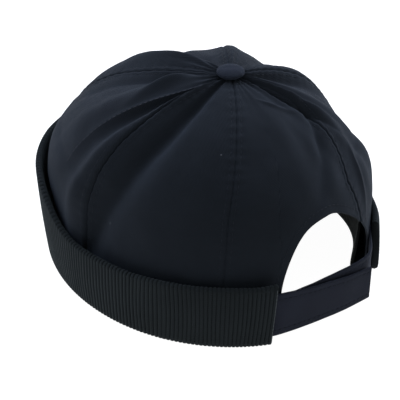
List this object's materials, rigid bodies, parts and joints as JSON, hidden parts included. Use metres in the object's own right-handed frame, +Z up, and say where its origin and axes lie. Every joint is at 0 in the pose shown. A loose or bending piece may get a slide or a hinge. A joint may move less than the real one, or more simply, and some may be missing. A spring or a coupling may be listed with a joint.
{
  "type": "brimless sailor cap",
  "caption": "Soft brimless sailor cap with a panelled crown, a cloth button, a turned-up rib-knit cuff and an open back with a cloth strap.",
  "frame": {"origin": "middle of the cap's footprint, on the surface it rests on", "axes": "+Z up to the button, -Y to the front of the cap, +X to the wearer's left, +Y to the back strap"},
  "size_m": [0.1914, 0.2182, 0.1248],
  "materials": {
    "crown_cloth": "navy cotton twill",
    "button_cloth": "navy cotton twill",
    "rib_knit": "black-grey rib knit",
    "strap_cloth": "navy cotton twill"
  },
  "bodies": {
    "root": {"crown_panel_1": "crown_cloth", "crown_panel_2": "crown_cloth", "crown_panel_3": "crown_cloth", "crown_panel_4": "crown_cloth", "crown_panel_5": "crown_cloth", "crown_panel_6": "crown_cloth", "crown_button": "button_cloth", "cuff": "rib_knit", "inner_band": "rib_knit", "strap_outer": "strap_cloth", "strap_inner": "strap_cloth"}
  },
  "joints": []
}
